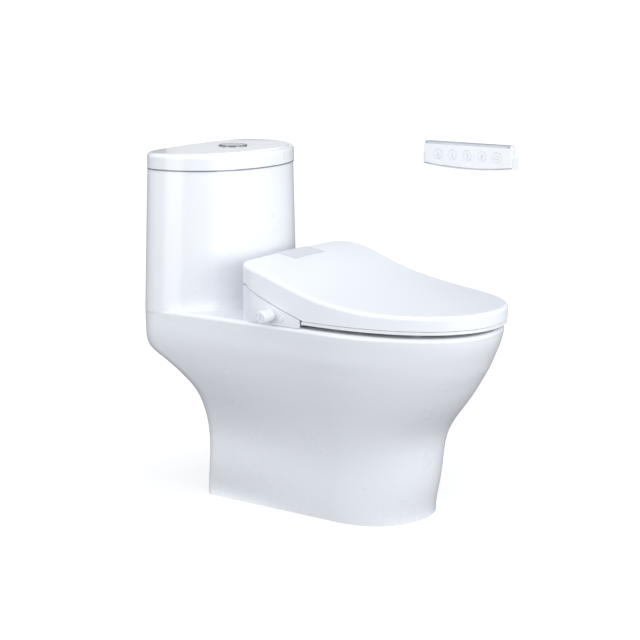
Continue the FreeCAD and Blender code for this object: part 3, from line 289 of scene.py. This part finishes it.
looks = {
    "china": {"name": "glazedChina", "color": (0.855, 0.875, 0.91), "gloss": 0.28, "spread": 0.06,
              "coat": 0.4, "coatRoughness": 0.05, "slow": 9.0, "fine": 260.0, "bump": 0.015,
              "drift": 0.012},
    "lidPlastic": {"name": "glossLidPlastic", "color": (0.84, 0.865, 0.905), "gloss": 0.42,
                   "spread": 0.05, "coat": 0.12, "coatRoughness": 0.2, "slow": 7.0, "fine": 1400.0,
                   "bump": 0.03, "drift": 0.01},
    "housingPlastic": {"name": "housingPlastic", "color": (0.83, 0.85, 0.89), "gloss": 0.36,
                       "spread": 0.05, "slow": 9.0, "fine": 1500.0, "bump": 0.05, "drift": 0.012},
    "panelPlastic": {"name": "greyPanelPlastic", "color": (0.70, 0.725, 0.765), "gloss": 0.34,
                     "spread": 0.04, "slow": 12.0, "fine": 1800.0, "bump": 0.06, "drift": 0.01},
    "seatPlastic": {"name": "warmSeatPlastic", "color": (0.86, 0.87, 0.89), "gloss": 0.28,
                    "spread": 0.05, "slow": 8.0, "fine": 1300.0, "bump": 0.03, "drift": 0.012},
    # Chrome with painted reflection: the bezel's metal colour is darkened to stand in for the dark floor
    # reflected in its side wall
    "darkReflectionChrome": {"name": "darkReflectionChrome", "color": (0.19, 0.205, 0.22), "metal": 1.0, "gloss": 0.2,
                   "spread": 0.05, "slow": 30.0, "fine": 2500.0, "bump": 0.02},
    "satinChrome": {"name": "satinChrome", "color": (0.86, 0.88, 0.91), "metal": 1.0, "gloss": 0.34,
                    "spread": 0.08, "slow": 40.0, "fine": 3000.0, "bump": 0.05},
    "printGrey": {"name": "keyPrint", "color": (0.42, 0.44, 0.48), "gloss": 0.45, "spread": 0.06,
                  "slow": 60.0, "fine": 3000.0, "bump": 0.05, "drift": 0.05},
    "printPale": {"name": "paleKeyPrint", "color": (0.68, 0.70, 0.74), "gloss": 0.42, "spread": 0.06,
                  "slow": 60.0, "fine": 3000.0, "bump": 0.05, "drift": 0.04},
    "knobPlastic": {"name": "clearishKnobPlastic", "color": (0.86, 0.88, 0.92), "gloss": 0.24,
                    "spread": 0.05, "coat": 0.4, "slow": 40.0, "fine": 2500.0, "bump": 0.05},
    "rubber": {"name": "softRubber", "color": (0.10, 0.10, 0.11), "gloss": 0.72, "spread": 0.1,
               "slow": 30.0, "fine": 2600.0, "bump": 0.2, "drift": 0.1},
    "greyRubber": {"name": "paleRubber", "color": (0.62, 0.64, 0.67), "gloss": 0.65, "spread": 0.1,
                   "slow": 30.0, "fine": 2600.0, "bump": 0.15, "drift": 0.04},
    "steel": {"name": "brushedSteel", "color": (0.58, 0.59, 0.61), "metal": 1.0, "gloss": 0.32,
              "spread": 0.15, "slow": 60.0, "fine": 3000.0, "bump": 0.1, "drift": 0.06},
    "innerPlastic": {"name": "mouldedInnerPlastic", "color": (0.74, 0.75, 0.77), "gloss": 0.45,
                     "spread": 0.08, "slow": 25.0, "fine": 1800.0, "bump": 0.1, "drift": 0.04},
    "darkPlastic": {"name": "darkInnerPlastic", "color": (0.09, 0.095, 0.105), "gloss": 0.5,
                    "spread": 0.1, "slow": 25.0, "fine": 1800.0, "bump": 0.12, "drift": 0.08},
    "board": {"name": "boardResin", "color": (0.05, 0.23, 0.12), "gloss": 0.38, "spread": 0.1,
              "slow": 70.0, "fine": 1500.0, "bump": 0.1, "drift": 0.25},
    "copperFoil": {"name": "heaterFoil", "color": (0.72, 0.43, 0.28), "metal": 1.0, "gloss": 0.34,
                   "spread": 0.1, "slow": 60.0, "fine": 1500.0, "bump": 0.15, "drift": 0.08},
    "remoteWhite": {"name": "remoteWhitePlastic", "color": (0.86, 0.875, 0.90), "gloss": 0.34,
                    "spread": 0.05, "slow": 20.0, "fine": 2200.0, "bump": 0.05, "drift": 0.01},
    "remoteSilver": {"name": "remoteSilverTrim", "color": (0.58, 0.61, 0.65), "metal": 0.7,
                     "gloss": 0.34, "spread": 0.06, "slow": 30.0, "fine": 2600.0, "bump": 0.08},
    "cell": {"name": "cellSleeve", "color": (0.16, 0.17, 0.19), "gloss": 0.3, "spread": 0.08,
             "slow": 40.0, "fine": 1500.0, "bump": 0.04, "drift": 0.1},
}

# The tank lid has a material of its own: the china's glaze plus painted shade, a grey band along its lower
# edge that stands in for the shadow in the seam with the tank
looks["chinaLidSeamShade"] = {**looks["china"], "name": "glazedChinaLidSeamShade"}

nodeLooks = {
    "china": ("toilet_body", "rim_deck", "toilet_tank", "bowl_basin", "trapway"),
    "chinaLidSeamShade": ("tank_lid",),
    "lidPlastic": ("lid_shell",),
    "housingPlastic": ("housing_cover", "knob_collar", "side_button"),
    "panelPlastic": ("top_panel",),
    "seatPlastic": ("seat_top", "seat_bottom"),
    # The bezel's dark metal colour is a painted reflection
    "darkReflectionChrome": ("button_bezel",),
    "satinChrome": ("button_full", "button_half"),
    "knobPlastic": ("filter_knob",),
    "rubber": ("outlet_seal", "flush_valve_seal", "fill_valve_washer"),
    "greyRubber": ("lid_bumpers", "seat_bumpers", "bolt_sleeves"),
    "steel": ("hinge_shafts", "base_bolts", "nozzle_wand"),
    "innerPlastic": ("housing_base", "seat_base_plate", "nozzle_guide", "flush_valve_body",
                     "fill_valve_body", "fill_valve_float", "shank_nut", "outlet_adapter",
                     "water_heater", "valve_block", "inlet_fitting", "bezel_nut"),
    "darkPlastic": ("dryer_fan", "power_gland", "flush_valve_lift"),
    "board": ("circuit_board", "handset_board"),
    "copperFoil": ("heater_element",),
    "remoteWhite": ("handset_front", "handset_back", "battery_door", "remote_holder", "key_stop",
                    "key_rear_wash", "key_front_wash", "key_dry", "key_pressure"),
    "remoteSilver": ("key_seat_heat", "key_water_heat", "key_power"),
    "cell": ("batteries",),
}

materials = {name: makeMaterial(look) for name, look in looks.items()}


def setMaterial(piece, material):
    piece.data.materials.clear()
    piece.data.materials.append(material)


for name, members in nodeLooks.items():
    for member in members:
        setMaterial(nodes[member], materials[name])
bare = sorted(set(nodes) - {member for members in nodeLooks.values() for member in members})
print("stage: materials set, nodes without one:", bare)

# Painted seam shade on the tank lid: how far above the tank's rim the grey band reaches, and its colour
lidSeamShade = {"height": 0.0028, "color": (0.20, 0.215, 0.24)}


# Painted shade: grey on the tank lid from a little above the tank's rim down, standing in for the shadow
# in the seam between lid and tank, which reads as a thin line round the tank
def paintLidSeamShade(material, lid, tank, line):
    tankTop = max((tank.matrix_world @ v.co).z for v in tank.data.vertices)
    seamShadeTop = (lid.matrix_world.inverted() @ Vector((0.0, 0.0, tankTop + line["height"]))).z
    tree = material.node_tree
    surface = tree.nodes["Principled BSDF"]
    glaze = surface.inputs["Base Color"].links[0].from_socket
    place = tree.nodes.new("ShaderNodeTexCoord")
    parts = tree.nodes.new("ShaderNodeSeparateXYZ")
    below = tree.nodes.new("ShaderNodeMath")
    below.operation = "LESS_THAN"
    below.inputs[1].default_value = seamShadeTop
    mix = tree.nodes.new("ShaderNodeMix")
    mix.data_type = "RGBA"
    mix.inputs["B"].default_value = (*line["color"], 1.0)
    tree.links.new(place.outputs["Object"], parts.inputs["Vector"])
    tree.links.new(parts.outputs["Z"], below.inputs[0])
    tree.links.new(below.outputs["Value"], mix.inputs["Factor"])
    tree.links.new(glaze, mix.inputs["A"])
    tree.links.new(mix.outputs["Result"], surface.inputs["Base Color"])


paintLidSeamShade(materials["chinaLidSeamShade"], nodes["tank_lid"], nodes["toilet_tank"], lidSeamShade)


def addPiece(name, vertices, faces, body, look, smooth=False):
    mesh = bpy.data.meshes.new(name)
    mesh.from_pydata(vertices, [], faces)
    mesh.polygons.foreach_set("use_smooth", [smooth] * len(mesh.polygons))
    piece = bpy.data.objects.new(name, mesh)
    bpy.context.collection.objects.link(piece)
    setMaterial(piece, materials[look])
    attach(piece, body)


# Raised strokes on a plane that faces -X: a path's points are (y, z) in metres from the middle
def strokeMesh(paths, middle, planeX, halfWidth, rise):
    section = ((1, 0.0), (1, rise), (-1, rise), (-1, 0.0))
    corners = len(section)
    vertices, faces = [], []
    for path in paths:
        points = [Vector((y, z)) for y, z in path["points"]]
        closed = path.get("closed", False)
        count = len(points)
        first = len(vertices)
        for i, point in enumerate(points):
            before = points[i - 1] if closed or i > 0 else point
            after = points[(i + 1) % count] if closed or i < count - 1 else point
            along = (after - before).normalized()
            across = Vector((-along.y, along.x)) * halfWidth
            for way, lift in section:
                spot = point + across * way
                vertices.append((planeX - lift, middle[0] + spot.x, middle[1] + spot.y))
        for i in range(count if closed else count - 1):
            a, b = first + corners * i, first + corners * ((i + 1) % count)
            for k in range(corners - 1):
                faces.append((a + k, b + k, b + k + 1, a + k + 1))
        if not closed:
            last = first + corners * (count - 1)
            faces.append(tuple(range(first, first + corners)))
            faces.append(tuple(reversed(range(last, last + corners))))
    return vertices, faces


def ringPath(radius, steps=40, centre=(0.0, 0.0), start=0.0, sweep=360.0):
    closed = sweep >= 360.0
    points = []
    for i in range(steps if closed else steps + 1):
        angle = math.radians(start + sweep * i / steps)
        points.append((centre[0] + radius * math.cos(angle), centre[1] + radius * math.sin(angle)))
    return {"points": points, "closed": closed}


keyPrint = {
    "keyRadius": 0.011,
    "halfWidth": 0.00032,
    "rise": 0.00012,
    "rim": 0.0088,
    "keys": {
        "key_stop": [
            {"points": [(-0.0022, -0.001), (0.0, 0.0055), (0.0022, -0.001)], "closed": True},
            ringPath(0.0021, 20, (0.0, -0.0042))],
        "key_rear_wash": [
            {"points": [(0.0, 0.0058), (-0.0012, 0.0018), (0.0022, -0.0006)]},
            {"points": [(-0.0026, -0.0010), (0.0010, -0.0024)]},
            ringPath(0.0010, 12, (0.0, -0.0046))],
        "key_front_wash": [
            ringPath(0.0034, 24, (0.0014, 0.0004), 40.0, 250.0),
            {"points": [(-0.0020, 0.0030), (-0.0034, 0.0004)]},
            ringPath(0.0009, 12, (-0.0012, -0.0044))],
        "key_dry": [
            {"points": [(-0.0013, 0.0046), (0.0013, 0.0046), (0.0013, -0.0030), (-0.0013, -0.0030)],
             "closed": True},
            {"points": [(0.0, 0.0036), (0.0, -0.0022)]},
            {"points": [(-0.0036, -0.0050), (0.0036, -0.0050)]}],
        "key_pressure": [
            ringPath(0.0030, 20, (0.0, 0.0002), 0.0, 170.0),
            {"points": [(-0.0050, -0.0036), (0.0050, -0.0036)]},
            {"points": [(-0.0030, 0.0010), (-0.0046, -0.0012)]}],
    },
}


# Each key's marks and rim stand on the middle of its round front face
def addKeyPrint(setup):
    rim = [ringPath(setup["rim"])]
    for body, marks in setup["keys"].items():
        low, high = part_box(body)
        middle = ((low.y + high.y) / 2, high.z - setup["keyRadius"])
        for part, paths, look in (("Mark", marks, "printGrey"), ("Rim", rim, "printPale")):
            vertices, faces = strokeMesh(paths, middle, low.x, setup["halfWidth"], setup["rise"])
            addPiece(body + part, vertices, faces, body, look)


addKeyPrint(keyPrint)
print("stage: key marks made")

remoteTrim = {
    "round": 0.003,
    "rise": 0.00012,
    "endInset": 0.0035,
    "down": 0.0022,
    "arcSteps": 8,
    "lengthSteps": 24,
    "dotRadius": 0.0014,
    "dotInset": 0.0032,
    "dotUp": 0.0003,
    "dotSteps": 20,
    "dotRings": ((1.0, 0.0), (0.85, 0.00018), (0.5, 0.00028)),
}


# The handset's rounded upper front edge: its plane, the height of the rounding's centre, and its length
def remoteEdge(trim):
    low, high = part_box("handset_front")
    return {
        "frontX": low.x,
        "centreZ": high.z - trim["round"],
        "middleY": (low.y + high.y) / 2,
        "halfLength": (high.y - low.y) / 2 - trim["endInset"],
    }


def quarterArc(trim, edge, radius):
    centreX = edge["frontX"] + trim["round"]
    points = []
    for i in range(trim["arcSteps"] + 1):
        angle = math.pi / 2 * i / trim["arcSteps"]
        points.append((centreX - radius * math.cos(angle), edge["centreZ"] + radius * math.sin(angle)))
    return points


# Thin silver strip that wraps the edge
def addTrimStrip(trim, edge):
    lowZ = edge["centreZ"] - trim["down"]
    section = [(edge["frontX"] - trim["rise"], lowZ)]
    section += quarterArc(trim, edge, trim["round"] + trim["rise"])
    section += reversed(quarterArc(trim, edge, trim["round"]))
    section.append((edge["frontX"], lowZ))
    count, steps = len(section), trim["lengthSteps"]
    vertices, faces = [], []
    for k in range(steps + 1):
        y = edge["middleY"] + edge["halfLength"] * (2.0 * k / steps - 1.0)
        vertices += [(x, y, z) for x, z in section]
    for k in range(steps):
        for i in range(count):
            a, b = k * count + i, k * count + (i + 1) % count
            faces.append((a, b, b + count, a + count))
    faces.append(tuple(range(count)))
    faces.append(tuple(reversed(range(steps * count, (steps + 1) * count))))
    addPiece("remoteTrim", vertices, faces, "handset", "remoteSilver")


# A small dark domed dot near each end of the strip
def addTrimDots(trim, edge):
    steps, rings, radius = trim["dotSteps"], trim["dotRings"], trim["dotRadius"]
    planeX = edge["frontX"] - trim["rise"]
    middleZ = edge["centreZ"] + trim["dotUp"]
    vertices, faces = [], []
    for way in (-1, 1):
        middleY = edge["middleY"] + way * (edge["halfLength"] - trim["dotInset"])
        first = len(vertices)
        for share, lift in rings:
            for i in range(steps):
                angle = 2 * math.pi * i / steps
                vertices.append((planeX - lift, middleY + radius * share * math.cos(angle),
                                 middleZ + radius * share * math.sin(angle)))
        for r in range(len(rings) - 1):
            for i in range(steps):
                a, b = first + steps * r + i, first + steps * r + (i + 1) % steps
                faces.append((a, b, b + steps, a + steps))
        faces.append(tuple(first + steps * (len(rings) - 1) + i for i in range(steps)))
    addPiece("remoteTrimDots", vertices, faces, "handset", "darkPlastic", smooth=True)


handsetEdge = remoteEdge(remoteTrim)
addTrimStrip(remoteTrim, handsetEdge)
addTrimDots(remoteTrim, handsetEdge)
print("stage: remote trim made")
